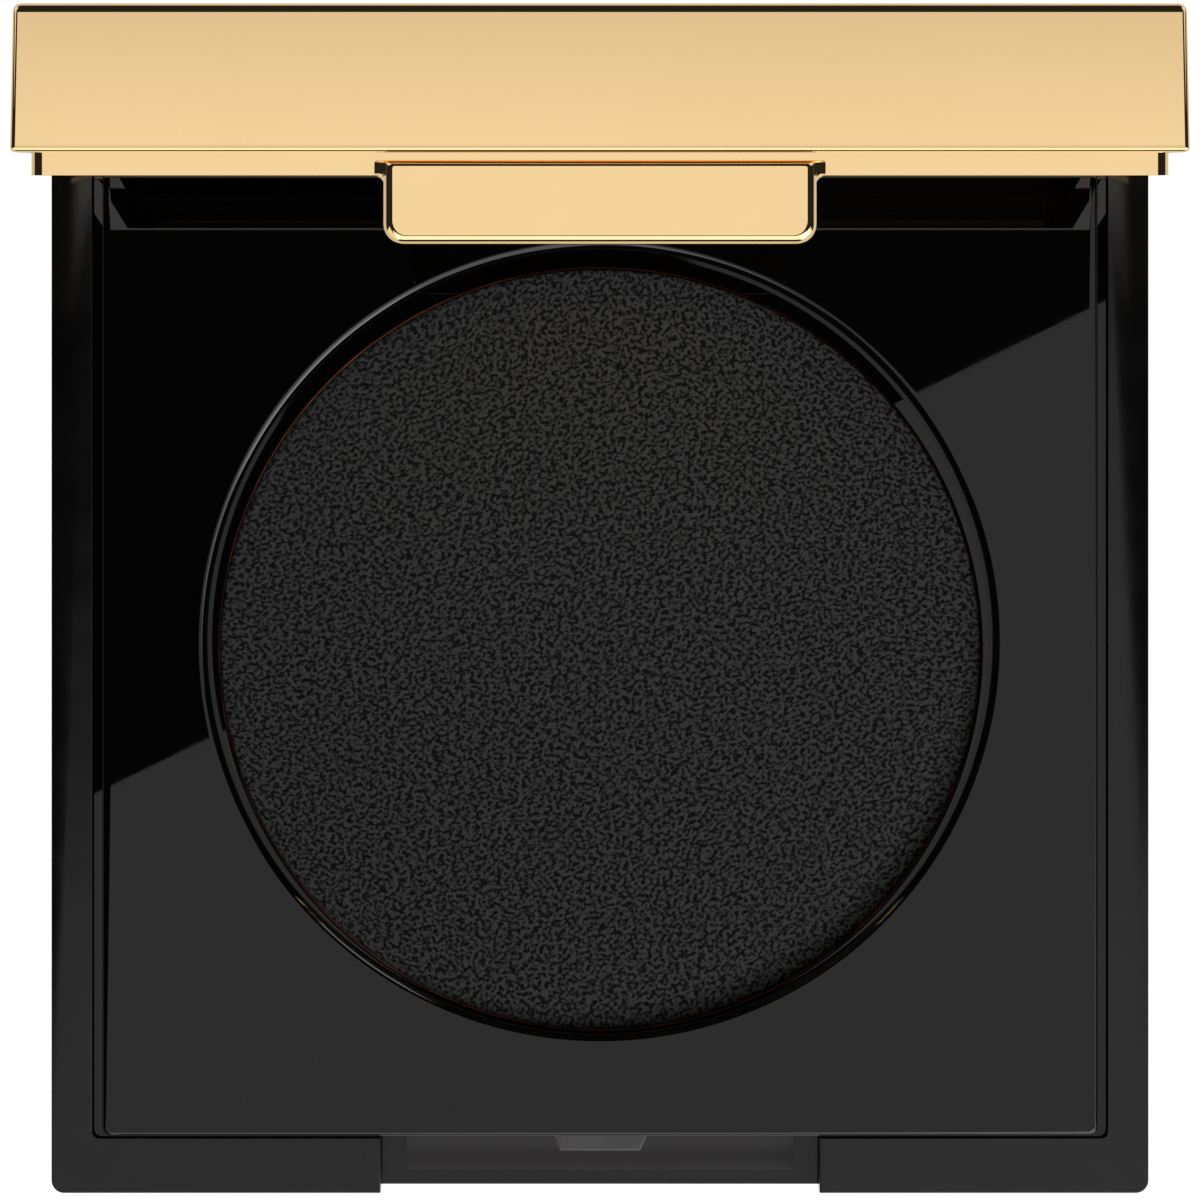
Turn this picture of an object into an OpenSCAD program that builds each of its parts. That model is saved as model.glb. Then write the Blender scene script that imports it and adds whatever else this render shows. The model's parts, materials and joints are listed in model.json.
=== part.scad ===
// Square powder compact: a moulded base with a raised tray and one round powder pan,
// and a polished lid with a mirror that turns on two short pins at the back.
// Origin at the centre of the underside. +Z up, front towards -Y, hinge at +Y. Millimetres.

/* [Case] */
// Width and depth of the closed case
case_w = 52; // [51.5:0.1:53]
// Height of the base, up to the seam under the lid
base_h = 6.4; // [6.2:0.1:7]
// Radius of the upright corners
corner_r = 0.6; // [0.4:0.1:1]
// Radius along the bottom edges of the base
bottom_r = 0.8; // [0.3:0.1:1]
// Width of the rim at the sides and the back
rim_w = 1.95; // [1.85:0.05:2.05]
// Width of the rim at the front
front_rim_w = 2.62; // [2.5:0.02:2.7]
// Thickness of the base floor
floor_t = 1.2; // [1:0.05:1.2]

/* [Tray and pan] */
// Height of the tray's face above the seam
tray_rise = 0.5; // [0.3:0.05:0.55]
// Gap between the tray and the rim at the sides
groove_w = 0.48; // [0.3:0.02:0.5]
// Diameter of the powder pan
pan_d = 36.4; // [34:0.1:36.8]
// Height of the powder pan
pan_h = 2.2; // [1.8:0.05:2.3]
// Sheet thickness of the powder pan
pan_wall = 0.15; // [0.12:0.01:0.3]
// Depth of the powder's face below the tray's face
powder_drop = 2.4; // [2.3:0.05:2.6]
// Centre of the tray's opening, front to back
hole_y = 0.15; // [0:0.05:0.3]
// Radial play of the pan in the opening
pan_play = 0.4; // [0.3:0.02:0.5]

/* [Thumb notch] */
// Width of the notch in the front of the base
notch_w = 20.8; // [20.4:0.1:22]
// Height of the ledge at the bottom of the notch
notch_ledge = 2.9; // [2.6:0.1:3.1]
// Width of the lid's opening tab
tab_w = 19.1; // [16:0.1:19.4]
// How far the tab hangs below the seam
tab_drop = 2.96; // [2.6:0.02:3]
// Width of the catch at its root
catch_w = 4.5; // [3:0.1:5]
// How far the catch stands out from the tray's front edge
catch_out = 0.72; // [0.5:0.02:0.74]

/* [Lid] */
// Thickness of the whole lid
lid_t = 7.66; // [7.6:0.02:8.4]
// Height of the visible strip between the seam and the cover
strip_h = 1.09; // [0.9:0.01:1.2]
// How far the strip lies inside the cover's outline
strip_inset = 0.9; // [0.85:0.01:1]
// Draft of the cover's side walls, in degrees
cover_draft = 1.2; // [0:0.1:1.5]
// Width of the mirror glass
mirror_w = 46.6; // [44:0.1:46.8]
// Length of the mirror glass, front to back
mirror_l = 43; // [38:0.1:43.2]
// Thickness of the mirror glass
mirror_t = 1.1; // [0.8:0.05:1.2]

/* [Hinge] */
// Opening angle of the lid as drawn, 0 is closed
open_deg = 88.5; // [0:0.5:110]
// Opening angle at which the lid meets its stop
stop_deg = 110; // [95:1:110]
// Height of the hinge axis above the seam
hinge_up = 2; // [2:0.01:2.05]
// Distance of the hinge axis from the back of the base
hinge_in = 1.95; // [1.94:0.01:1.96]
// Diameter of the hinge pins
pin_d = 1.2; // [1:0.1:1.3]
// Radial clearance of the pins in the lid's knuckles
pin_gap = 0.04; // [0.02:0.01:0.08]
// Width of the fixed knuckle in the middle
knuckle_w = 19.2; // [16:0.1:19.4]

/* [Hidden] */
$fn = 64;

BLACK = "#17171a";
SOOT = "#232326";
GOLD = "#dcb877";
STEEL = "#b9bcc0";
TIN = "#c9b9ac";
PAPER = "#e9e7e2";
GLASS = "#cdd6da";
TAPE = "#f1f0ea";

half = case_w / 2;
fit_gap = 0.05;                       // between parts that are pushed together
cut = 1;                              // how far a cutter runs past the face it cuts

// Base and tray
well_half = half - rim_w;             // side walls of the base cavity
well_front = -half + front_rim_w;     // front wall of the cavity
tray_half = well_half - groove_w;     // sides of the tray's raised face
tray_front = well_front + 0.12;
tray_top = base_h + tray_rise;
flange_t = 0.7;
flange_top = base_h - 0.9;            // bottom of the groove around the raised face
flange_bottom = flange_top - flange_t;
hole_r = pan_d / 2 + pan_play;        // wall of the round opening in the tray
hole_fillet = 0.35;
pan_y = hole_y - pan_play + 0.02;     // the pan is glued in against the front of the opening
tube_r = hole_r + 1.1;                // outside of the tube under the opening
powder_top = tray_top - powder_drop;
pan_lip = 0.1;                        // how far the pan's rim stands above the powder
pan_top = powder_top + pan_lip;
pan_bottom = pan_top - pan_h;
glue_t = 0.1;
tray_floor_top = pan_bottom - glue_t;
tray_vent_r = 3;
label_r = 14;
label_t = 0.1;
label_recess = 0.15;
post = 4;                             // corner posts under the tray's flange
rib_l = 8;
rib_t = 1.4;

// Thumb notch, scoop and catch
notch_inset = 0.3;                    // set-back of the front face below the ledge
scoop_w = notch_w - 2.4;
scoop_front = -half + 0.95;
scoop_back = well_front + 0.95;
scoop_top_y = well_front + 0.08;
scoop_fall = flange_top - notch_ledge;
scoop_run = scoop_top_y - scoop_front;
scoop_r = (scoop_fall * scoop_fall + scoop_run * scoop_run) / (2 * scoop_run);
catch_top = base_h - 0.1;
catch_bottom = catch_top - 0.65;
catch_root = tray_front + 1.15;
catch_tip_w = catch_w - 0.7;

// Hinge
axis_y = half - hinge_in;
axis_z = base_h + hinge_up;
lid_reach = hinge_in - fit_gap;       // from the axis to the lid's back face
stop_gap = 0.03;
stop_tilt = stop_deg - 90;
knuckle_r = 1.6;
knuckle_gap = 0.15;
pin_from = knuckle_w / 2 - 5;
pin_to = knuckle_w / 2 + 4.7;
lid_knuckle_to = pin_to + 0.3;
tray_back = axis_y - 1.3;
tray_back_middle = axis_y - knuckle_r - knuckle_gap;

// Lid, drawn closed
lid_top = base_h + lid_t;
seam_gap = 0.08;
cover_bottom = base_h + strip_h;
cover_wall = strip_inset - fit_gap;
cover_plate_t = 1;
cover_corner_r = 0.4;
cover_edge_r = 0.35;
lid_back = axis_y + lid_reach;
frame_half = half - strip_inset;
frame_back = lid_back - cover_wall - fit_gap;
lip_half = tray_half + 0.3;           // inside of the frame's lip, round the tray's face
lip_front = tray_front - 0.25;
bezel_z = base_h + 1.1;
mirror_face = base_h + 1.5;
mirror_back = mirror_face + mirror_t;
tape_t = 0.15;
frame_top = mirror_back + tape_t + 1.1;
mirror_play = 0.1;
mirror_front = -half + 3;
notch_top = axis_z + knuckle_r / cos(stop_tilt) + lid_reach * tan(stop_tilt) + knuckle_gap;

// Opening tab, drawn closed
tab_face = -half + 0.25;
tab_top = cover_bottom - 0.35;
tab_tip = base_h - tab_drop;
tab_back = tray_front - catch_out - 0.03;
tab_back_low = base_h - 1.4;          // height at which the tab starts to thin towards its tip
tab_tip_back = tab_face + 0.6;
tab_side_bevel = 0.55;
tab_tip_r = 0.9;
recess_w = catch_w + 0.7;
catch_tip_y = tray_front - catch_out;
recess_y = catch_tip_y - 0.18;        // floor of the recess that takes the catch

// A block between two corners, with upright corners of radius r.
module block(low, high, r) {
    w = high[0] - low[0];
    d = high[1] - low[1];
    translate([low[0], low[1], low[2]])
        linear_extrude(height = high[2] - low[2]) {
            translate([r, 0]) square([w - 2 * r, d]);
            translate([0, r]) square([w, d - 2 * r]);
            for (x = [r, w - r], y = [r, d - r]) translate([x, y]) circle(r = r, $fn = 32);
        }
}

// A cylinder along X between two places.
module bar_x(r, from, to) {
    translate([from, 0, 0]) rotate([0, 90, 0]) cylinder(r = r, h = to - from);
}

// The 2D child is a profile of outward distance and height, run along all four sides.
module along_sides(front, back) {
    run = 2 * case_w;
    for (side = [0, 1]) mirror([side, 0, 0])
        translate([half, 0, 0]) rotate([90, 0, 0]) linear_extrude(height = run, center = true) children();
    translate([0, back, 0]) rotate([90, 0, 90]) linear_extrude(height = run, center = true) children();
    translate([0, front, 0]) mirror([0, 1, 0]) rotate([90, 0, 90])
        linear_extrude(height = run, center = true) children();
}

// Profile that rounds an edge at height z. up is 1 for a top edge and -1 for a bottom edge.
module edge_profile(r, z, up) {
    difference() {
        translate([-r, up > 0 ? z - r : z - cut]) square([r + cut, r + cut]);
        translate([-r, z - up * r]) circle(r = r);
    }
}

// Profile in Y and Z, run along X over a width.
module across(width) {
    rotate([90, 0, 90]) linear_extrude(height = width, center = true) children();
}

// Everything of the lid turns about the hinge axis from its closed place.
module as_open() {
    translate([0, axis_y, axis_z]) rotate([-open_deg, 0, 0]) translate([0, -axis_y, -axis_z]) children();
}

// What is taken off the lid's back lower edge, so that it turns clear of the base.
module back_trim() {
    difference() {
        translate([-case_w, axis_y, 0]) cube([2 * case_w, 10, axis_z]);
        translate([0, axis_y, axis_z]) bar_x(lid_reach, -case_w - cut, case_w + cut);
    }
}

// Room in the lid for the fixed knuckle over the whole travel.
module knuckle_room() {
    w = knuckle_w + 2 * knuckle_gap;
    translate([-w / 2, tray_back_middle, 0]) cube([w, 10, notch_top]);
}

// The bevel on the back rim that stops the lid.
module stop_bevel() {
    depth = lid_reach + stop_gap;
    translate([0, axis_y, axis_z]) rotate([-stop_tilt, 0, 0])
        translate([-case_w, -depth * tan(stop_tilt) - 0.05, -depth]) cube([2 * case_w, 12, 12]);
}

module base_shell() {
    color(BLACK) difference() {
        union() {
            difference() {
                block([-half, -half, 0], [half, half, base_h], corner_r);
                block([-well_half, well_front, floor_t], [well_half, well_half, base_h + cut], 0.3);
                stop_bevel();
            }
            for (sx = [-1, 1], y = [well_front + post / 2, well_half - post / 2])
                translate([sx * (well_half - post / 2), y, floor_t + (flange_bottom - floor_t) / 2])
                    cube([post, post, flange_bottom - floor_t], center = true);
            for (sx = [-1, 1])
                translate([sx * (well_half - rib_t / 2), 0, floor_t + (flange_bottom - floor_t) / 2])
                    cube([rib_t, rib_l, flange_bottom - floor_t], center = true);
            translate([-knuckle_w / 2, axis_y - knuckle_r, floor_t])
                cube([knuckle_w, 2 * knuckle_r, axis_z - floor_t]);
            translate([0, axis_y, axis_z]) bar_x(knuckle_r, -knuckle_w / 2, knuckle_w / 2);
        }
        along_sides(-half, half) edge_profile(bottom_r, 0, -1);
        translate([-notch_w / 2, -half - cut, notch_ledge])
            cube([notch_w, cut + front_rim_w + 0.01, base_h]);
        translate([-notch_w / 2, -half - cut, -cut]) cube([notch_w, cut + notch_inset, base_h]);
        translate([0, axis_y, axis_z]) bar_x(pin_d / 2, -knuckle_w, knuckle_w);
        translate([0, 0, -cut]) cylinder(r = label_r + 0.2, h = cut + label_recess);
    }
}

module catch_outline() {
    polygon([[-catch_tip_w / 2, catch_tip_y], [catch_tip_w / 2, catch_tip_y],
        [catch_w / 2, tray_front], [catch_w / 2, catch_root],
        [-catch_w / 2, catch_root], [-catch_w / 2, tray_front]]);
}

module inner_tray() {
    color(BLACK) difference() {
        union() {
            block([-tray_half, tray_front, flange_bottom], [tray_half, tray_back, tray_top], 0.4);
            block([-well_half + fit_gap, well_front + fit_gap, flange_bottom],
                [well_half - fit_gap, tray_back, flange_top], 0.3);
            translate([0, hole_y, floor_t]) cylinder(r = tube_r, h = flange_top - floor_t, $fn = 128);
            across(scoop_w) difference() {
                translate([scoop_front, notch_ledge])
                    square([scoop_back - scoop_front, flange_top - notch_ledge]);
                translate([scoop_top_y - scoop_r, flange_top]) circle(r = scoop_r, $fn = 96);
            }
        }
        translate([0, hole_y, tray_floor_top]) cylinder(r = hole_r, h = tray_top, $fn = 128);
        translate([0, hole_y, 0]) cylinder(r = tray_vent_r, h = tray_top);
        translate([0, hole_y, tray_top]) rotate_extrude($fn = 128) difference() {
            translate([hole_r - 0.1, -hole_fillet]) square([hole_fillet + 0.1, hole_fillet + cut]);
            translate([hole_r + hole_fillet, -hole_fillet]) circle(r = hole_fillet);
        }
        translate([-knuckle_w / 2 - knuckle_gap, tray_back_middle, 0])
            cube([knuckle_w + 2 * knuckle_gap, 10, tray_top + cut]);
        translate([0, 0, catch_bottom]) linear_extrude(height = catch_top - catch_bottom) catch_outline();
    }
}

module latch_catch() {
    color(SOOT) translate([0, 0, catch_bottom])
        linear_extrude(height = catch_top - catch_bottom) catch_outline();
}

module powder_pan() {
    color(TIN) translate([0, pan_y, pan_bottom]) difference() {
        cylinder(d = pan_d, h = pan_h, $fn = 128);
        translate([0, 0, pan_wall]) cylinder(d = pan_d - 2 * pan_wall, h = pan_h, $fn = 128);
    }
}

module pan_adhesive() {
    color(TAPE) translate([0, pan_y, tray_floor_top]) difference() {
        cylinder(r = pan_d / 2 - 4, h = glue_t);
        translate([0, 0, -cut]) cylinder(r = tray_vent_r + 1, h = 3 * cut);
    }
}

module powder_cake() {
    color(SOOT) translate([0, pan_y, pan_bottom + pan_wall])
        cylinder(d = pan_d - 2 * pan_wall, h = pan_h - pan_wall - pan_lip, $fn = 128);
}

module underside_label() {
    color(PAPER) translate([0, 0, label_recess - label_t]) cylinder(r = label_r, h = label_t);
}

module hinge_pin(from, to) {
    color(STEEL) translate([0, axis_y, axis_z]) bar_x(pin_d / 2, from, to);
}

module hinge_pin_left() { hinge_pin(-pin_to, -pin_from); }

module hinge_pin_right() { hinge_pin(pin_from, pin_to); }

// Side view of the opening tab.
module tab_profile() {
    polygon([[tab_face, tab_tip + 0.5], [tab_face + 0.12, tab_tip + 0.15], [tab_face + 0.35, tab_tip],
        [tab_tip_back, tab_tip], [tab_back, tab_back_low], [tab_back, tab_top], [tab_face, tab_top]]);
}

// Front view of the opening tab, with rounded lower corners.
module tab_outline() {
    w = tab_w / 2;
    translate([-w, tab_tip + tab_tip_r]) square([tab_w, tab_top - tab_tip - tab_tip_r]);
    translate([-w + tab_tip_r, tab_tip]) square([tab_w - 2 * tab_tip_r, tab_tip_r + 0.01]);
    for (sx = [-1, 1])
        translate([sx * (w - tab_tip_r), tab_tip + tab_tip_r]) circle(r = tab_tip_r, $fn = 48);
}

module tab() {
    difference() {
        intersection() {
            across(tab_w) tab_profile();
            translate([0, tab_back + cut, 0]) rotate([90, 0, 0]) linear_extrude(height = 4) tab_outline();
        }
        for (side = [0, 1]) mirror([side, 0, 0])
            linear_extrude(height = lid_top)
                polygon([[tab_w / 2 - tab_side_bevel, tab_face - 0.01], [tab_w / 2 + cut, tab_face - 0.01],
                    [tab_w / 2 + cut, tab_face + tab_side_bevel], [tab_w / 2 + 0.01, tab_face + tab_side_bevel]]);
        translate([-recess_w / 2, recess_y, catch_bottom - 0.15])
            cube([recess_w, 2, catch_top - catch_bottom + 0.4]);
    }
}

module mirror_frame() {
    color(GOLD) as_open() difference() {
        union() {
            block([-frame_half, -frame_half, base_h + seam_gap], [frame_half, frame_back, frame_top], 0.5);
            tab();
        }
        difference() {
            translate([-lip_half, lip_front, 0]) cube([2 * lip_half, axis_y - lip_front, bezel_z]);
            translate([0, axis_y, axis_z]) bar_x(lid_reach, -case_w, case_w);
            translate([-case_w, lip_front - cut, -cut]) cube([2 * case_w, cut, lid_top]);
        }
        translate([-mirror_w / 2 - mirror_play, mirror_front - mirror_play, 0])
            cube([mirror_w + 2 * mirror_play, mirror_l + 2 * mirror_play, mirror_back + tape_t]);
        back_trim();
        knuckle_room();
        translate([0, axis_y, axis_z]) for (side = [0, 1]) mirror([side, 0, 0])
            bar_x(pin_d / 2 + pin_gap, 0, lid_knuckle_to);
    }
}

module lid_cover() {
    taper = tan(cover_draft) * (lid_top - cover_bottom);
    color(GOLD) as_open() difference() {
        block([-half, -half, cover_bottom], [half, lid_back, lid_top], cover_corner_r);
        along_sides(-half, lid_back)
            polygon([[0, cover_bottom], [cut, cover_bottom], [cut, lid_top + cut],
                [-taper, lid_top + cut], [-taper, lid_top]]);
        along_sides(-half, lid_back) translate([-taper, 0]) edge_profile(cover_edge_r, lid_top, 1);
        block([-half + cover_wall, -half + cover_wall, 0],
            [half - cover_wall, lid_back - cover_wall, lid_top - cover_plate_t], 0.3);
        back_trim();
        knuckle_room();
    }
}

module mirror_sheet(bottom, thick, inset) {
    as_open() translate([-mirror_w / 2 + inset, mirror_front + inset, bottom])
        cube([mirror_w - 2 * inset, mirror_l - 2 * inset, thick]);
}

module mirror_glass() {
    color(GLASS) mirror_sheet(mirror_face, mirror_t, 0);
}

module mirror_adhesive() {
    color(TAPE) mirror_sheet(mirror_back, tape_t, 2);
}

base_shell();
inner_tray();
latch_catch();
powder_pan();
pan_adhesive();
powder_cake();
underside_label();
hinge_pin_left();
hinge_pin_right();
mirror_frame();
lid_cover();
mirror_glass();  // mirror
mirror_adhesive();
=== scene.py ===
import json
import math

import bmesh
import bpy
import numpy as np
from mathutils import Matrix, Quaternion, Vector

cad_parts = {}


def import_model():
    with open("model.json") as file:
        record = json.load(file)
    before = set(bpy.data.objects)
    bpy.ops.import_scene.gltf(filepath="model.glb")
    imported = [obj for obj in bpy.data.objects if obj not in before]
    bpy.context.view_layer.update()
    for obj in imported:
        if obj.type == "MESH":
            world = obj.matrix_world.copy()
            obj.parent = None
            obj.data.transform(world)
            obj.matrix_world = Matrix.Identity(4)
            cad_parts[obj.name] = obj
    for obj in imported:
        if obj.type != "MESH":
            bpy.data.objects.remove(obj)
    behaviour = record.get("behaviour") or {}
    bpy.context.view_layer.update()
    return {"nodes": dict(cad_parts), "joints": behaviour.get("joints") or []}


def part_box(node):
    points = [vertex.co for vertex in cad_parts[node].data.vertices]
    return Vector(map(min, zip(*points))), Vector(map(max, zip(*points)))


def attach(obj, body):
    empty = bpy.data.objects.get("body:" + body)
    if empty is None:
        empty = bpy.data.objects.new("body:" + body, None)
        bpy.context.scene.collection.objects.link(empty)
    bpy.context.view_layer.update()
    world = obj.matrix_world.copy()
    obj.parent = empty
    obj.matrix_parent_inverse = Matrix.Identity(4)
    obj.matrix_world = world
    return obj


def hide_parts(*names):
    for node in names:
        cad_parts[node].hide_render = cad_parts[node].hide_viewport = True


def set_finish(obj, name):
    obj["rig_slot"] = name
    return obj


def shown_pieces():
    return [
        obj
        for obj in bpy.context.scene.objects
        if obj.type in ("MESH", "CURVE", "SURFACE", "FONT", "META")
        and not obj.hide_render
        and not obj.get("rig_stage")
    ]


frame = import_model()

MM = 0.001
joint = frame["joints"][0]
HINGE = Vector(joint["pos_m"])
OPEN = math.radians(-joint["range_deg"][0])
TURN = Matrix.Translation(HINGE) @ Matrix.Rotation(-OPEN, 4, "X") @ Matrix.Translation(-HINGE)


# ---------------------------------------------------------------- materials

class Shader:
    """A Principled material and the few helpers that its nodes need."""

    def __init__(self, name):
        self.material = bpy.data.materials.new(name)
        self.material.use_nodes = True
        self.tree = self.material.node_tree
        self.bsdf = self.tree.nodes["Principled BSDF"]
        self.place = self.node("ShaderNodeTexCoord").outputs["Object"]

    def node(self, kind, **values):
        made = self.tree.nodes.new(kind)
        for key, value in values.items():
            setattr(made, key, value)
        return made

    def set(self, **values):
        for key, value in values.items():
            self.bsdf.inputs[key.replace("_", " ")].default_value = value

    def link(self, source, target):
        self.tree.links.new(source, target)
        return target

    def stretched(self, scale, turn=(0, 0, 0)):
        mapping = self.node("ShaderNodeMapping")
        mapping.inputs["Scale"].default_value = scale
        mapping.inputs["Rotation"].default_value = turn
        self.link(self.place, mapping.inputs["Vector"])
        return mapping.outputs["Vector"]

    def noise(self, scale, detail=4.0, rough=0.5, place=None):
        noise = self.node("ShaderNodeTexNoise")
        noise.inputs["Scale"].default_value = scale
        noise.inputs["Detail"].default_value = detail
        noise.inputs["Roughness"].default_value = rough
        self.link(place or self.place, noise.inputs["Vector"])
        return noise.outputs["Fac"]

    def ramp(self, value, low, high, start=0.35, end=0.65):
        ramp = self.node("ShaderNodeMapRange")
        ramp.inputs["From Min"].default_value = start
        ramp.inputs["From Max"].default_value = end
        ramp.inputs["To Min"].default_value = low
        ramp.inputs["To Max"].default_value = high
        self.link(value, ramp.inputs["Value"])
        return ramp.outputs["Result"]

    def tint(self, value, low, high, start=0.35, end=0.65):
        ramp = self.node("ShaderNodeValToRGB")
        ramp.color_ramp.elements[0].position = start
        ramp.color_ramp.elements[1].position = end
        ramp.color_ramp.elements[0].color = (*low, 1)
        ramp.color_ramp.elements[1].color = (*high, 1)
        self.link(value, ramp.inputs["Fac"])
        return ramp.outputs["Color"]

    def bump(self, height, strength, distance):
        bump = self.node("ShaderNodeBump")
        bump.inputs["Strength"].default_value = strength
        bump.inputs["Distance"].default_value = distance
        self.link(height, bump.inputs["Height"])
        self.link(bump.outputs["Normal"], self.bsdf.inputs["Normal"])

    def roughness(self, value, low, high, start=0.35, end=0.65):
        self.link(self.ramp(value, low, high, start, end), self.bsdf.inputs["Roughness"])

    def colour(self, source):
        self.link(source, self.bsdf.inputs["Base Color"])


def polished_gold():
    """Metallised pale gold, mirror-bright, with a faint cloud in its tone and gloss."""
    s = Shader("polished_gold")
    s.set(Metallic=1.0)
    s.colour(s.tint(s.noise(140, 3), (0.925, 0.655, 0.332), (0.935, 0.665, 0.344)))
    s.roughness(s.noise(260, 4), 0.015, 0.025)
    s.bump(s.noise(1500, 2), 0.002, 0.000001)
    return s.material


def piano_black():
    """High-gloss black moulding with a faint orange peel."""
    s = Shader("piano_black")
    s.set(IOR=1.5)
    s.colour(s.tint(s.noise(60, 2), (0.0004, 0.0004, 0.0005), (0.0008, 0.0008, 0.0009)))
    s.roughness(s.noise(900, 4), 0.006, 0.012)
    s.bump(s.noise(1800, 2), 0.002, 0.000001)
    return s.material


def moulded_black():
    """Black moulding of the base, a little less glossy than the tray, with a fine grain."""
    s = Shader("moulded_black")
    s.set(IOR=1.5)
    s.colour(s.tint(s.noise(90, 3), (0.0020, 0.0019, 0.0020), (0.0034, 0.0032, 0.0033)))
    s.roughness(s.noise(350, 5, 0.6), 0.10, 0.15)
    s.bump(s.noise(4200, 3, 0.6), 0.03, 0.00001)
    return s.material


def thumb_satin():
    """Satin black of the thumb rest, slightly warm, with faint streaks along its width."""
    s = Shader("thumb_satin")
    streaks = s.noise(1500, 5, 0.6, s.stretched((0.04, 1, 1)))
    s.colour(s.tint(streaks, (0.0035, 0.0014, 0.0018), (0.0075, 0.0046, 0.0052)))
    s.roughness(streaks, 0.50, 0.62)
    s.bump(streaks, 0.10, 0.00001)
    return s.material


def catch_grey():
    """Moulded grey of the snap catch."""
    s = Shader("catch_grey")
    s.colour(s.tint(s.noise(300, 4), (0.055, 0.051, 0.053), (0.078, 0.073, 0.075)))
    s.roughness(s.noise(900, 4), 0.22, 0.36)
    s.bump(s.noise(3500, 3), 0.12, 0.00001)
    return s.material


def pressed_powder():
    """Charcoal powder with random specks. The stored grain height paints shade into the pits and a painted
    highlight onto the crests.
    """
    s = Shader("pressed_powder")
    s.set(Specular_IOR_Level=0.25)
    # Grain height: below it paints shade into the powder's pits and a painted highlight onto its crests,
    # mixed with random specks.
    grain = s.node("ShaderNodeAttribute", attribute_name="grain").outputs["Fac"]
    speck = s.noise(9000, 4, 0.7)
    speck_and_pit_shade = s.node("ShaderNodeMath", operation="MULTIPLY_ADD")
    speck_and_pit_shade.inputs[1].default_value = 0.45
    s.link(speck, speck_and_pit_shade.inputs[0])
    s.link(grain, speck_and_pit_shade.inputs[2])
    s.colour(s.tint(speck_and_pit_shade.outputs[0], (0.010, 0.010, 0.0102), (0.120, 0.120, 0.122), 0.44, 1.06))
    s.roughness(speck, 0.75, 0.95)
    s.bump(speck, 0.35, 0.00002)
    return s.material


def pan_metal():
    """Dark reddish metal of the pan, drawn upwards at its wall."""
    s = Shader("pan_metal")
    s.set(Metallic=1.0)
    s.colour(s.tint(s.noise(700, 4), (0.075, 0.026, 0.018), (0.17, 0.055, 0.040)))
    drawn = s.noise(500, 4, 0.6, s.stretched((1, 1, 14)))
    s.roughness(drawn, 0.25, 0.42)
    s.bump(drawn, 0.15, 0.00001)
    return s.material


def pin_steel():
    """Steel wire, drawn along its length."""
    s = Shader("pin_steel")
    s.set(Metallic=1.0)
    s.colour(s.tint(s.noise(500, 3), (0.50, 0.50, 0.52), (0.64, 0.64, 0.66)))
    drawn = s.noise(2500, 4, 0.6, s.stretched((0.05, 1, 1)))
    s.roughness(drawn, 0.18, 0.34)
    s.bump(drawn, 0.2, 0.00001)
    return s.material


def silvered_glass():
    """The mirror, with a very faint haze."""
    s = Shader("silvered_glass")
    s.set(Metallic=1.0)
    s.colour(s.tint(s.noise(40, 2), (0.86, 0.88, 0.88), (0.90, 0.915, 0.91)))
    s.roughness(s.noise(700, 5, 0.7), 0.004, 0.016)
    return s.material


def adhesive_film():
    """Pale double-sided film."""
    s = Shader("adhesive_film")
    s.colour(s.tint(s.noise(1200, 4), (0.70, 0.69, 0.65), (0.84, 0.83, 0.79)))
    s.roughness(s.noise(2500, 4), 0.45, 0.7)
    s.bump(s.noise(2500, 4), 0.2, 0.00002)
    return s.material


def label_paper():
    """Blank coated paper with fine fibres."""
    s = Shader("label_paper")
    fibres = s.noise(2600, 5, 0.65, s.stretched((1, 0.25, 1), (0, 0, 0.5)))
    s.colour(s.tint(fibres, (0.70, 0.69, 0.66), (0.80, 0.79, 0.76)))
    s.roughness(fibres, 0.45, 0.62)
    s.bump(fibres, 0.2, 0.00002)
    return s.material


GOLD = polished_gold()
PIANO = piano_black()
MOULDED = moulded_black()
SCOOP = thumb_satin()
CATCH = catch_grey()
POWDER = pressed_powder()
PAN = pan_metal()
PIN = pin_steel()
MIRROR = silvered_glass()
FILM = adhesive_film()
PAPER = label_paper()


# ---------------------------------------------------------------- mesh helpers

def piece(name, verts, faces, material, body, slot, *nodes):
    """A new visible mesh that stands for CAD nodes and rides on a body."""
    mesh = bpy.data.meshes.new(name)
    mesh.from_pydata([tuple(v) for v in verts], [], faces)
    mesh.validate()
    work = bmesh.new()
    work.from_mesh(mesh)
    bmesh.ops.recalc_face_normals(work, faces=work.faces)
    work.to_mesh(mesh)
    work.free()
    mesh.shade_smooth()
    made = bpy.data.objects.new(name, mesh)
    bpy.context.scene.collection.objects.link(made)
    made.data.materials.append(material)
    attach(made, body)
    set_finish(made, slot)
    if nodes:
        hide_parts(*nodes)
    return made


def stack(loops, closed=True):
    """Quads between loops that have the same number of points."""
    count = len(loops[0])
    verts = [p for loop in loops for p in loop]
    faces = []
    for ring in range(len(loops) - (0 if closed else 1)):
        low, high = ring * count, (ring + 1) % len(loops) * count
        for i in range(count):
            j = (i + 1) % count
            faces.append((low + i, low + j, high + j, high + i))
    return verts, faces


def arc(centre, radius, start, end, steps):
    """Points (across, up) of an arc, with the angles in degrees."""
    angles = [math.radians(start + (end - start) * k / steps) for k in range(steps + 1)]
    return [(centre[0] + radius * math.cos(a), centre[1] + radius * math.sin(a)) for a in angles]


def lathe(profile, centre, steps=256):
    """Loops of a closed (radius, height) profile turned about an upright axis."""
    return [
        [
            (centre.x + r * math.cos(a), centre.y + r * math.sin(a), z)
            for a in (2 * math.pi * k / steps for k in range(steps))
        ]
        for r, z in profile
    ]


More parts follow.
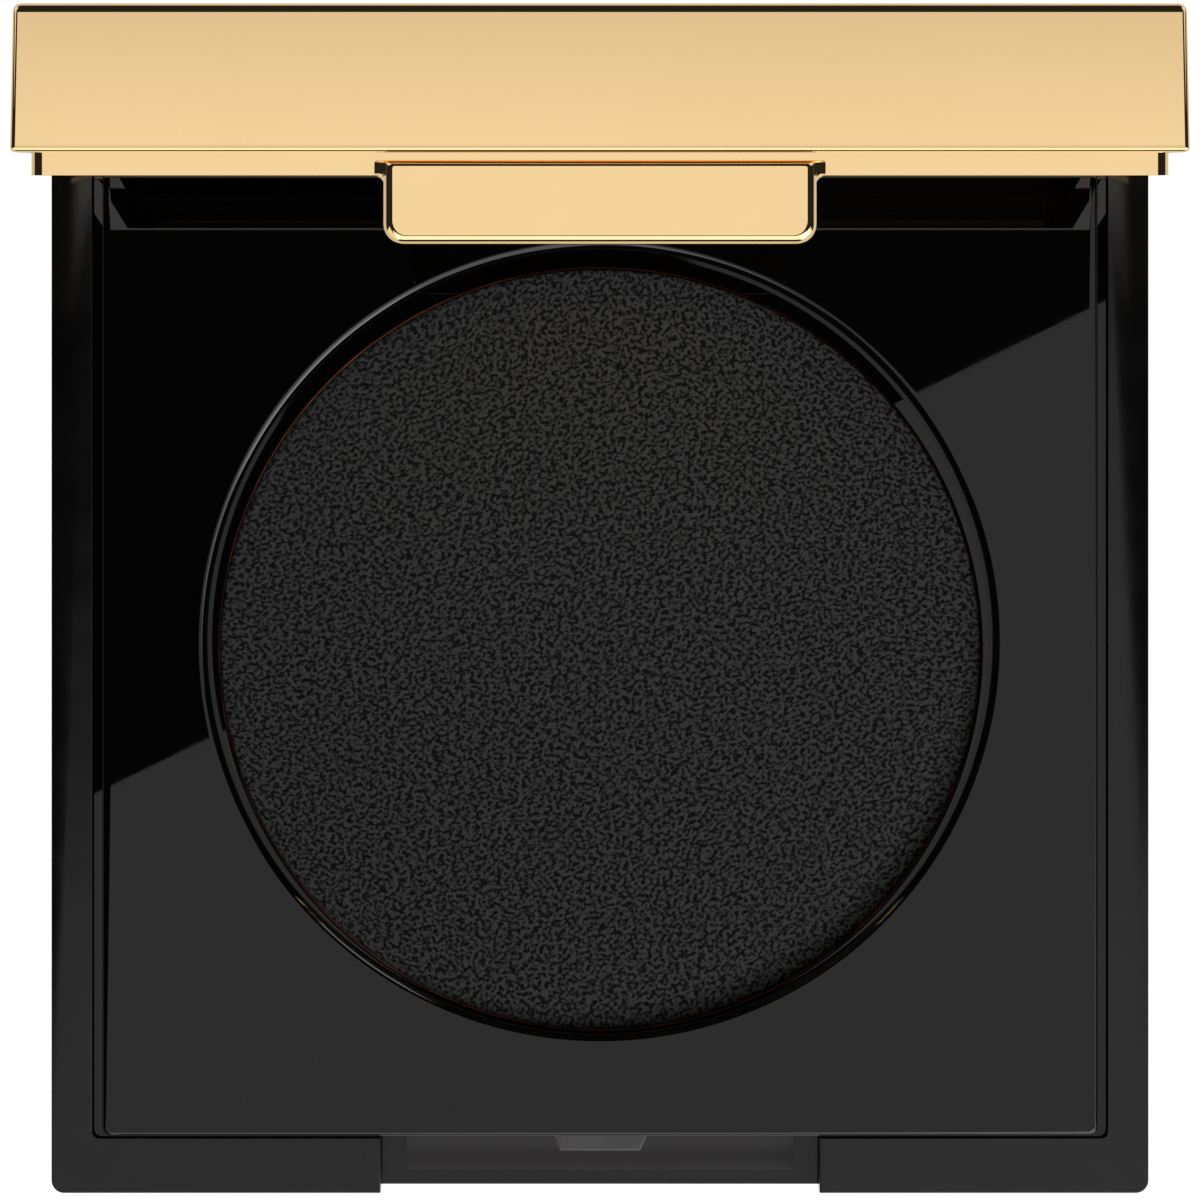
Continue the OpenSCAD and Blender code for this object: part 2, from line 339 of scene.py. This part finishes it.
def smooth_edges(obj, width, segments=3, angle=35):
    """Rounds the sharp edges of a CAD node and keeps its flat faces flat."""
    weld = obj.modifiers.new("weld", "WELD")
    weld.merge_threshold = 2e-6
    flats = obj.modifiers.new("flats", "DECIMATE")
    flats.decimate_type = "DISSOLVE"
    flats.angle_limit = math.radians(0.4)
    bevel = obj.modifiers.new("bevel", "BEVEL")
    bevel.width = width
    bevel.segments = segments
    bevel.limit_method = "ANGLE"
    bevel.angle_limit = math.radians(angle)
    bevel.use_clamp_overlap = True
    bevel.harden_normals = False
    obj.data.shade_smooth()
    normals = obj.modifiers.new("normals", "WEIGHTED_NORMAL")
    normals.keep_sharp = False
    normals.weight = 100


def finish_node(name, material, width=0.0, segments=3, angle=35):
    """Gives a CAD node its material and, where a width is given, rounded edges."""
    obj = frame["nodes"][name]
    obj.data.materials.clear()
    obj.data.materials.append(material)
    if width:
        smooth_edges(obj, width, segments, angle)
    return obj


# ---------------------------------------------------------------- base

finish_node("base_shell", MOULDED, 0.00024, 4)
finish_node("latch_catch", CATCH, 0.00008, 3)
finish_node("hinge_pin_left", PIN, 0.0001, 3)
finish_node("hinge_pin_right", PIN, 0.0001, 3)
finish_node("pan_adhesive", FILM)
finish_node("underside_label", PAPER)


def level(node, height):
    """The CAD node's corners at one height."""
    points = np.array([v.co for v in frame["nodes"][node].data.vertices])
    return points[np.abs(points[:, 2] - height) < 2e-6]


def tray_rim(low, high, back_middle, knuckle, corner, inset):
    """Outline of the tray, anticlockwise, with the set-back for the hinge in the middle of its back edge."""
    left, right = low[0] + inset, high[0] - inset
    front, back = low[1] + inset, high[1] - inset
    middle, reach, r = back_middle - inset, knuckle + inset, corner - inset
    line = []

    def run(a, b, steps):
        for k in range(steps):
            line.append((a[0] + (b[0] - a[0]) * k / steps, a[1] + (b[1] - a[1]) * k / steps))

    def corner_arc(x, y, start):
        line.extend(arc((x, y), r, start, start + 90, 8))

    corner_arc(right - r, front + r, -90)
    run((right, front + r), (right, back - r), 60)
    corner_arc(right - r, back - r, 0)
    run((right - r, back), (reach, back), 9)
    run((reach, back), (reach, middle), 2)
    run((reach, middle), (-reach, middle), 42)
    run((-reach, middle), (-reach, back), 2)
    run((-reach, back), (left + r, back), 9)
    corner_arc(left + r, back - r, 90)
    run((left, back - r), (left, front + r), 60)
    corner_arc(left + r, front + r, 180)
    run((left + r, front), (right - r, front), 60)
    return line


def tray_scoop(flange_top, ledge, count):
    """The concave thumb rest in front of the tray: a profile run along X, with its ends closed."""
    foot = level("inner_tray", ledge)
    foot = foot[foot[:, 1] < -0.02]
    half, front, back = foot[:, 0].max(), foot[:, 1].min(), foot[:, 1].max()
    fall = flange_top - ledge
    run = level("inner_tray", flange_top)[:, 1].min() + 0.03 * MM - front
    radius = (fall * fall + run * run) / (2 * run)
    end = math.degrees(math.asin(fall / radius))
    curve = arc((front + run - radius, flange_top), radius, -end, 0, 24)
    profile = [*curve, (back, flange_top), (back, ledge)]
    verts = [(x, y, z) for x in (-half, half) for y, z in profile]
    n = len(profile)
    faces = [(k, (k + 1) % n, n + (k + 1) % n, n + k) for k in range(n)]
    faces += [tuple(range(n)), tuple(range(n, 2 * n))]
    return [tuple(v) for v in verts], [tuple(count + k for k in face) for face in faces]


def build_tray():
    """The raised gloss-black face, its round opening with a soft edge, flange, tube and thumb rest."""
    low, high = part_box("inner_tray")
    face = level("inner_tray", high.z)
    pan_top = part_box("powder_pan")[1].z
    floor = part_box("pan_adhesive")[0].z
    outer = face[np.abs(face[:, 0]) > 0.02]
    middle = face[(face[:, 1] > 0.02) & (np.abs(face[:, 0]) < 0.0098)]
    knuckle = np.abs(middle[:, 0]).max()
    ring = face[np.hypot(face[:, 0], face[:, 1]) < 0.0195]
    centre = Vector(((ring[:, 0].min() + ring[:, 0].max()) / 2, (ring[:, 1].min() + ring[:, 1].max()) / 2, 0))
    soft = 0.35 * MM
    hole = (ring[:, 0].max() - ring[:, 0].min()) / 2 - soft
    body_low, body_high = (outer[:, 0].min(), outer[:, 1].min()), (outer[:, 0].max(), outer[:, 1].max())
    wide = ((low.x, body_low[1] - 0.07 * MM), (high.x, body_high[1]))
    flange_top, flange_low = high.z - 1.4 * MM, high.z - 2.1 * MM

    def rim(inset, z, box=(body_low, body_high)):
        outline = tray_rim(*box, middle[:, 1].max(), knuckle, 0.4 * MM, inset)
        return [(x, y, z) for x, y in outline]

    count = len(rim(0, 0))
    turns = [math.radians(-45) + 2 * math.pi * (k - 4) / count for k in range(count)]

    def circle(r, z):
        return [(centre.x + r * math.cos(a), centre.y + r * math.sin(a), z) for a in turns]

    loops = [circle(hole, floor), circle(hole, pan_top)]
    loops += [circle(hole, high.z - soft - 0.1 * MM)]
    loops += [circle(r, z) for r, z in arc((hole + soft, high.z - soft), soft, 180, 90, 12)]
    loops += [circle(hole + soft + 0.1 * MM, high.z), rim(0.4 * MM - 1e-5, high.z)]
    edge = 0.13 * MM
    loops += [rim(edge - d, z) for d, z in arc((0, high.z - edge), edge, 90, 0, 6)]
    loops += [rim(0, flange_top), rim(0, flange_top, wide)]
    loops += [rim(0, flange_low, wide), rim(0.4 * MM - 1e-5, flange_low)]
    tube = hole + 1.1 * MM
    loops += [circle(tube, flange_low), circle(tube, low.z), circle(3 * MM, low.z), circle(3 * MM, floor)]
    verts, faces = stack(loops)
    more, ends = tray_scoop(flange_top, thumb_ledge(), len(verts))
    made = piece("tray", verts + more, faces + ends, PIANO, "base", "tray_black", "inner_tray")
    made.data.materials.append(SCOOP)
    for polygon in list(made.data.polygons)[len(faces):]:
        polygon.material_index = 1
    made.data.set_sharp_from_angle(angle=math.radians(40))
    return made


def thumb_ledge():
    """Height of the ledge under the thumb rest: the lowest corner of the tray's front wall."""
    points = np.array([v.co for v in frame["nodes"]["inner_tray"].data.vertices])
    return points[points[:, 1] < -0.0245][:, 2].min()


def powder_grain(points, size, seed):
    """Irregular worm-like ridges about a quarter of a millimetre apart, from -1 to 1."""
    cells = 2048
    rng = np.random.default_rng(seed)
    k = np.fft.fftfreq(cells, d=size / cells)
    kx, ky = np.meshgrid(k * 1.10, k * 0.94)
    pitch = np.hypot(kx, ky)

    def band(wavelength, spread):
        wave = np.fft.fft2(rng.standard_normal((cells, cells)))
        made = np.fft.ifft2(wave * np.exp(-(((pitch * wavelength) - 1) / spread) ** 2)).real
        return made / made.std()

    fine, medium, coarse = band(0.17 * MM, 0.7), band(0.30 * MM, 0.6), band(0.55 * MM, 0.7)
    field = np.tanh(0.62 * (0.62 * fine + 0.80 * medium + 0.42 * coarse)) * 1.25
    at = (points / size + 0.5) * (cells - 2)
    i = at.astype(int)
    f = at - i
    x, y, fx, fy = i[:, 0], i[:, 1], f[:, 0], f[:, 1]
    low = field[y, x] * (1 - fx) + field[y, x + 1] * fx
    high = field[y + 1, x] * (1 - fx) + field[y + 1, x + 1] * fx
    return low * (1 - fy) + high * fy


def build_powder():
    """The pressed cake: a grained, slightly crowned disc, and a plain side and underside."""
    low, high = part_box("powder_cake")
    centre, radius = (low + high) / 2, (high.x - low.x) / 2 - 0.00001
    cells = 560
    t = np.linspace(-1, 1, cells + 1)
    u, v = (a.ravel() for a in np.meshgrid(t, t))
    x = u * np.sqrt(1 - v * v / 2) * radius
    y = v * np.sqrt(1 - u * u / 2) * radius
    grain = powder_grain(np.stack([x, y], 1), 2.2 * radius, 7)
    away = np.hypot(x, y) / radius
    edge = np.clip((1 - away) / 0.012, 0, 1)
    swell = 0.00004 * (1 - away**2)
    z = high.z - 0.00006 + swell + 0.000022 * grain * edge
    z -= 0.00008 * (1 - edge) ** 2
    top = np.stack([x + centre.x, y + centre.y, z], 1)
    n = cells + 1
    index = np.arange(n * n).reshape(n, n)
    quads = np.stack([index[:-1, :-1], index[:-1, 1:], index[1:, 1:], index[1:, :-1]], -1).reshape(-1, 4)
    rim = [*index[0, :-1], *index[:-1, -1], *index[-1, :0:-1], *index[:0:-1, 0]]
    verts = [tuple(p) for p in top]
    faces = [tuple(map(int, q)) for q in quads]
    start = len(verts)
    verts += [(top[i][0], top[i][1], low.z) for i in rim]
    count = len(rim)
    for k in range(count):
        nxt = (k + 1) % count
        faces.append((int(rim[k]), int(rim[nxt]), start + nxt, start + k))
    faces.append(tuple(range(start, start + count)))
    made = piece("powder", verts, faces, POWDER, "base", "pressed_powder", "powder_cake")
    # Stores the grain height, which the powder material turns into painted shade in the pits and a painted
    # highlight on the crests.
    stored = made.data.attributes.new("grain", "FLOAT", "POINT")
    values = np.zeros(len(made.data.vertices), np.float32)
    values[: len(grain)] = grain * 0.5 + 0.5
    stored.data.foreach_set("value", values)
    return made


def build_pan():
    """The thin pan, turned about its axis, with a rounded rim."""
    low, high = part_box("powder_pan")
    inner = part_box("powder_cake")[1].x
    centre, outer, top, bottom = (low + high) / 2, high.x, high.z, low.z
    wall = outer - inner
    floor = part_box("powder_cake")[0].z
    rim = arc((outer - wall / 2, top - wall / 2), wall / 2, 0, 180, 8)
    profile = [(0.0004, bottom), *arc((outer - 0.0003, bottom + 0.0003), 0.0003, -90, 0, 5), *rim,
               (inner, floor + 0.0002), (inner - 0.0002, floor), (0.0004, floor)]
    verts, faces = stack(lathe(profile, centre))
    return piece("pan", verts, faces, PAN, "base", "pan_metal", "powder_pan")


TRAY = build_tray()
build_powder()
build_pan()

# ---------------------------------------------------------------- lid

def closed(node):
    """A lid node's corners with the lid shut."""
    back = TURN.inverted()
    return np.array([back @ v.co for v in frame["nodes"][node].data.vertices])


def carve(made, *cutters):
    """Takes simple solids away from a mesh. Each cutter is (points, faces)."""
    tools = []
    for points, faces in cutters:
        mesh = bpy.data.meshes.new("cutter")
        mesh.from_pydata([tuple(p) for p in points], [], faces)
        work = bmesh.new()
        work.from_mesh(mesh)
        bmesh.ops.recalc_face_normals(work, faces=work.faces)
        work.to_mesh(mesh)
        work.free()
        tool = bpy.data.objects.new("cutter", mesh)
        bpy.context.scene.collection.objects.link(tool)
        tools.append(tool)
        cut = made.modifiers.new("cut", "BOOLEAN")
        cut.operation = "DIFFERENCE"
        cut.solver = "EXACT"
        cut.object = tool
    bpy.context.view_layer.update()
    result = bpy.data.meshes.new_from_object(made.evaluated_get(bpy.context.evaluated_depsgraph_get()))
    made.modifiers.clear()
    made.data = result
    for tool in tools:
        bpy.data.objects.remove(tool)


def prism(profile, half):
    """A (y, z) profile run along X from -half to half."""
    n = len(profile)
    points = [(x, y, z) for x in (-half, half) for y, z in profile]
    sides = [(k, (k + 1) % n, n + (k + 1) % n, n + k) for k in range(n)]
    return points, [*sides, tuple(range(n)), tuple(range(n, 2 * n))]


def swing(made):
    """Turns a lid mesh from its shut place to its open rest place, and evens its shading."""
    made.data.transform(TURN)
    normals = made.modifiers.new("normals", "WEIGHTED_NORMAL")
    normals.keep_sharp = True
    normals.weight = 100


def plate_rim(low, high, inset, r):
    """Rounded rectangle, anticlockwise."""
    left, right, front, back = low[0] + inset, high[0] - inset, low[1] + inset, high[1] - inset
    corners = (
        (right - r, front + r, -90),
        (right - r, back - r, 0),
        (left + r, back - r, 90),
        (left + r, front + r, 180),
    )
    return [point for x, y, start in corners for point in arc((x, y), r, start, start + 90, 8)]


def build_cover():
    """The drafted outer shell, with soft edges and room at the back for the hinge."""
    corners = closed("lid_cover")
    low, high = corners.min(0), corners.max(0)
    slope, wall, plate = math.tan(math.radians(1.2)), 0.85 * MM, 1.0 * MM
    lower, upper, r = 0.24 * MM, 0.35 * MM, 0.22 * MM
    bottom, top = low[2], high[2]
    lean = slope * (top - bottom)
    profile = [(wall, top - plate), (wall, bottom + 0.05 * MM), (wall - 0.05 * MM, bottom)]
    profile += [(lower - d, z) for d, z in arc((0, bottom + lower), lower, -90, 0, 10)]
    profile += [(slope * lower + 0.004 * MM, bottom + lower + 0.1 * MM)]
    profile += [(lean - slope * 0.6 * MM, top - upper - 0.05 * MM)]
    profile += [(lean + upper - d, z) for d, z in arc((0, top - upper), upper, 0, 90, 10)]
    loops = [[(x, y, z) for x, y in plate_rim(low, high, inset, r)] for inset, z in profile]
    verts, faces = stack(loops, closed=False)
    count = len(loops[0])
    faces += [tuple(range(count)), tuple(range(len(verts) - count, len(verts)))]
    made = piece("cover", verts, faces, GOLD, "lid", "polished_gold", "lid_cover")
    reach = high[1] - HINGE.y
    beside = corners[(np.abs(corners[:, 0]) < 0.011) & (corners[:, 1] > 0.02) & (corners[:, 2] < 0.0125)]
    knuckle, room = np.abs(beside[:, 0]).max(), beside[:, 2].max()
    trim = [*arc((HINGE.y, HINGE.z), reach, -90, 0, 16), (0.03, HINGE.z), (0.03, 0.0), (HINGE.y, 0.0)]
    gap = [(0.0215, 0.0), (0.03, 0.0), (0.03, room), (0.0215, room)]
    carve(made, prism(trim, 0.04), prism(gap, knuckle))
    made.data.set_sharp_from_angle(angle=math.radians(30))
    swing(made)
    return made


def tab_loop(size, inset, top_inset, flare, depth):
    """Outline of the opening tab seen from the front. depth gives the place along Y for a height."""
    half, tip, top, seam = size
    w, lo, hi = half - inset, tip + inset, top - top_inset
    r, rt, spread = 0.9 * MM - 0.6 * inset, 0.12 * MM, 0.42 * MM
    right = [(w * 0.5, lo), *arc((w - r, lo + r), r, -90, 0, 12)]
    right += [(w, lo + r + (hi - rt - lo - r) * k / 24) for k in range(1, 24)]
    right += [*arc((w - rt, hi - rt), rt, 0, 90, 4), (w * 0.5, hi)]
    bent = []
    for x, z in right:
        rise = min(max(z - (seam - spread), 0), spread)
        bent.append((x + flare * (spread - math.sqrt(max(spread**2 - rise**2, 0))) * (x > w - 1e-4), z))
    outline = [*bent, *((-x, z) for x, z in reversed(bent))]
    return [(x, depth(z), z) for x, z in outline]


def build_tab(corners, seam, strip):
    """The thumb tab: a rounded tongue that flows into the frame with small fillets."""
    face, tip = corners[:, 1].min(), corners[:, 2].min()
    hanging = corners[corners[:, 2] < seam - 0.0005]
    half, back = np.abs(hanging[:, 0]).max(), hanging[:, 1].max()
    top = corners[corners[:, 1] < strip - 0.0001][:, 2].max()
    size = (half, tip, top, seam)
    loops = []
    for k in range(11):
        t = math.radians(9 * k)
        side, y = 0.42 * MM * (1 - math.sin(t)), face + 0.42 * MM * (1 - math.cos(t))
        loops.append(tab_loop(size, side, side * 0.62, 0, lambda z, y=y: y))
    for flare, depth in ((0.5, 0.52), (1.0, 0.66), (1.0, 0.72)):
        tail = min(depth, 0.56) * MM
        loops.append(tab_loop(
            size, 0, 0, flare, lambda z, d=depth * MM, q=tail: face + (d if z > tip + 0.9 * MM else q)))

    def rear(z):
        share = min(max((seam - 1.48 * MM - z) / (seam - 1.48 * MM - tip), 0), 1)
        return back + (face + 0.6 * MM - back) * share

    loops.append(tab_loop(size, 0, 0, 1.0, rear))
    verts, faces = stack(loops, closed=False)
    count = len(loops[0])
    faces += [tuple(range(count)), tuple(range(len(verts) - count, len(verts)))]
    made = piece("tab_part", verts, faces, GOLD, "lid", "polished_gold")
    pocket = [(back - 0.15 * MM, 0.0055), (0.0, 0.0055), (0.0, 0.0066), (back - 0.15 * MM, 0.0066)]
    carve(made, prism(pocket, 0.0026))
    return made


def build_frame():
    """The lid's inner frame with its opening tab."""
    corners = closed("mirror_frame")
    seam = closed("lid_cover")[:, 2].min() - 1.01 * MM
    strip = closed("lid_cover")[:, 1].min() + 0.9 * MM
    work = bmesh.new()
    work.from_mesh(frame["nodes"]["mirror_frame"].data)
    work.transform(TURN.inverted())
    for place, normal in (((0, 0, seam), (0, 0, -1)), ((0, strip, 0), (0, -1, 0))):
        geometry = [*work.verts, *work.edges, *work.faces]
        bmesh.ops.bisect_plane(
            work, geom=geometry, dist=1e-7, plane_co=place, plane_no=normal, clear_outer=True)
    mesh = bpy.data.meshes.new("frame_body")
    work.to_mesh(mesh)
    work.free()
    body = bpy.data.objects.new("frame_body", mesh)
    bpy.context.scene.collection.objects.link(body)
    smooth_edges(body, 0.00014, 5)
    bpy.context.view_layer.update()
    solid = bpy.data.meshes.new_from_object(body.evaluated_get(bpy.context.evaluated_depsgraph_get()))
    bpy.data.objects.remove(body)
    tab = build_tab(corners, seam, strip)
    merged = bmesh.new()
    merged.from_mesh(solid)
    merged.from_mesh(tab.data)
    merged.verts.index_update()
    verts = [v.co.copy() for v in merged.verts]
    faces = [tuple(v.index for v in f.verts) for f in merged.faces]
    merged.free()
    bpy.data.objects.remove(tab)
    made = piece("lid_frame", verts, faces, GOLD, "lid", "polished_gold", "mirror_frame")
    made.data.set_sharp_from_angle(angle=math.radians(30))
    swing(made)
    return made


COVER = build_cover()
FRAME = build_frame()
finish_node("mirror", MIRROR, 0.00015, 2)
finish_node("mirror_adhesive", FILM)


# ---------------------------------------------------------------- stage, light and camera

def floor():
    """A plain pale floor, with a glow that keeps it white."""
    mesh = bpy.data.meshes.new("floor")
    work = bmesh.new()
    bmesh.ops.create_circle(work, cap_ends=True, segments=96, radius=12)
    work.to_mesh(mesh)
    work.free()
    made = bpy.data.objects.new("floor", mesh)
    bpy.context.scene.collection.objects.link(made)
    made.location.z = -0.00002
    material = bpy.data.materials.new("pale_floor")
    material.use_nodes = True
    bsdf = material.node_tree.nodes["Principled BSDF"]
    bsdf.inputs["Base Color"].default_value = (0.8, 0.8, 0.8, 1)
    bsdf.inputs["Roughness"].default_value = 0.9
    bsdf.inputs["Specular IOR Level"].default_value = 0.0
    bsdf.inputs["Emission Color"].default_value = (1, 1, 1, 1)
    bsdf.inputs["Emission Strength"].default_value = 1.0
    made.data.materials.append(material)
    made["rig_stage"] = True
    return made


def area(name, place, target, width, depth, radiance, turn=0):
    """A plain white soft box whose face has the given brightness, turned about the way it points."""
    data = bpy.data.lights.new(name, "AREA")
    data.shape = "RECTANGLE"
    data.size = width
    data.size_y = depth
    data.energy = radiance * math.pi * width * depth
    made = bpy.data.objects.new(name, data)
    bpy.context.scene.collection.objects.link(made)
    made.location = place
    made.rotation_mode = "QUATERNION"
    aim = (Vector(target) - Vector(place)).to_track_quat("-Z", "Y")
    made.rotation_quaternion = aim @ Quaternion((0, 0, 1), math.radians(turn))
    made.visible_camera = False
    return made


def world():
    """A dim, even studio."""
    made = bpy.data.worlds.new("studio")
    bpy.context.scene.world = made
    made.use_nodes = True
    background = made.node_tree.nodes["Background"]
    background.inputs["Color"].default_value = (1, 1, 1, 1)
    background.inputs["Strength"].default_value = 0.02


def only_on(light, objects):
    """The light reaches only these objects, like a flagged studio light."""
    receivers = bpy.data.collections.new(light.name + "_on")
    for obj in objects:
        receivers.objects.link(obj)
    light.light_linking.receiver_collection = receivers


def fading(light, start, end, low):
    """The soft box's brightness falls off evenly towards its back edge, from start to end along Y."""
    light.data.use_nodes = True
    tree = light.data.node_tree
    split = tree.nodes.new("ShaderNodeSeparateXYZ")
    tree.links.new(tree.nodes.new("ShaderNodeNewGeometry").outputs["Position"], split.inputs["Vector"])
    fall = tree.nodes.new("ShaderNodeMapRange")
    fall.inputs["From Min"].default_value = start
    fall.inputs["From Max"].default_value = end
    fall.inputs["To Min"].default_value = 1.0
    fall.inputs["To Max"].default_value = low
    tree.links.new(split.outputs["Y"], fall.inputs["Value"])
    tree.links.new(fall.outputs["Result"], tree.nodes["Emission"].inputs["Strength"])


ground = floor()
world()
BLACK_PARTS = [TRAY, frame["nodes"]["base_shell"], frame["nodes"]["latch_catch"]]
GOLD_PARTS = [COVER, FRAME]
POWDER_PARTS = [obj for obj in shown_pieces() if obj.get("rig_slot") == "pressed_powder"]
only_on(ground, [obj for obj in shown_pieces() if obj not in GOLD_PARTS])

CEILING = 0.5
only_on(area("tray_light", (0.043, -0.084, CEILING), (0.043, -0.084, 0), 0.30, 0.20, 0.62, 26), BLACK_PARTS)
only_on(area("black_front", (0.15, -0.25, 0.38), (0, 0, 0.006), 0.48, 0.48, 1.9), BLACK_PARTS)

gold_light = area("gold_light", (0, 0, CEILING), (0, 0, 0), 0.12, 0.12, 0.96)
fading(gold_light, 0.030, 0.042, 0.80)
only_on(gold_light, GOLD_PARTS)
only_on(area("gold_front", (0, -0.30, 0.42), (0, 0, 0.05), 0.5, 0.38, 1.6), GOLD_PARTS)
for turn in (45, 135, 225, 315):
    a = math.radians(turn)
    place = (0.66 * math.cos(a), 0.66 * math.sin(a), 0.34)
    only_on(area("gold_box_%d" % turn, place, (0, 0, 0.02), 0.62, 0.62, 0.95), GOLD_PARTS)
only_on(area("gold_floor", (0, 0, 0.0003), (0, 0, 1), 16, 16, 0.62), GOLD_PARTS)

only_on(area("powder_light", (0.05, -0.05, 0.12), (0, 0, 0.005), 0.06, 0.06, 3.9), POWDER_PARTS)
right_box = area("right_box", (0.30, -0.28, 0.34), (0, 0, 0.005), 0.26, 0.26, 3.0)
only_on(right_box, [ground, *(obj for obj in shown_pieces() if obj not in POWDER_PARTS)])

BASE_TOP = 0.0064
AIM_Y = 0.00211
DISTANCE = 0.737
FIELD = 0.05688
camera = bpy.data.objects.new("camera", bpy.data.cameras.new("camera"))
bpy.context.scene.collection.objects.link(camera)
camera.location = (0, AIM_Y, BASE_TOP + DISTANCE)
camera.data.lens = camera.data.sensor_width * DISTANCE / FIELD
camera.data.clip_start = 0.05
bpy.context.scene.camera = camera
bpy.context.scene.view_settings.view_transform = "Standard"
